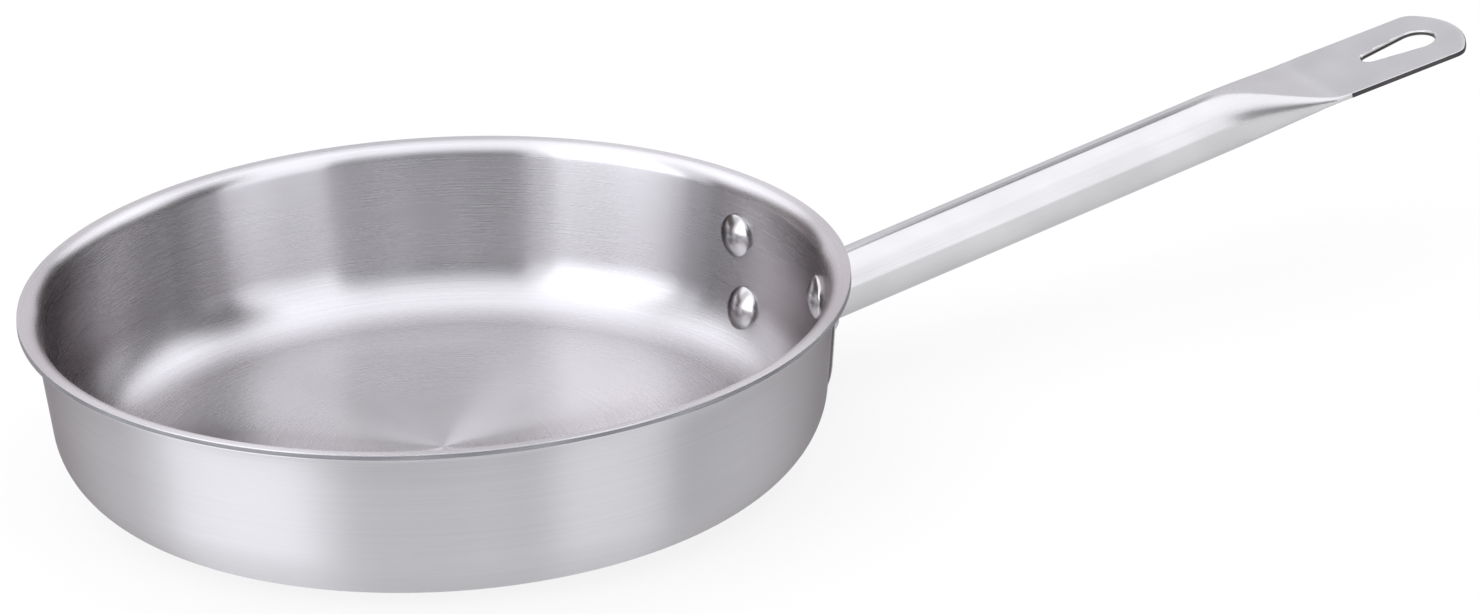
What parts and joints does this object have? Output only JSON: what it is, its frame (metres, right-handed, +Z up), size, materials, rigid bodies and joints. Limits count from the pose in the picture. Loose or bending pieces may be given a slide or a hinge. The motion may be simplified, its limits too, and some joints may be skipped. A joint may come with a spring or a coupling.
{
  "type": "frying pan",
  "caption": "Shallow round frying pan in clad stainless steel with a turned-out pouring lip and a riveted tubular handle that ends in a flat tab with a hanging hole.",
  "frame": {"origin": "centre of the base's underside, on the surface that the pan stands on", "axes": "+Z up along the bowl's axis, +X along the handle, +Y to the left of the handle seen from the bowl"},
  "size_m": [0.4596, 0.24, 0.0675],
  "materials": {
    "outer_steel": "satin stainless, brushed in circles",
    "core_aluminium": "turned edge, seen only at the lip",
    "liner_steel": "satin stainless, brushed in circles",
    "bracket_steel": "pressed stainless, satin",
    "handle_steel": "drawn stainless tube, polished",
    "rivet_steel": "polished stainless"
  },
  "bodies": {
    "root": {"outer_ply": "outer_steel", "aluminium_core": "core_aluminium", "inner_ply": "liner_steel", "handle_bracket": "bracket_steel", "handle_tube": "handle_steel", "rivet_upper_left": "rivet_steel", "rivet_upper_right": "rivet_steel", "rivet_lower_left": "rivet_steel", "rivet_lower_right": "rivet_steel"}
  },
  "joints": []
}
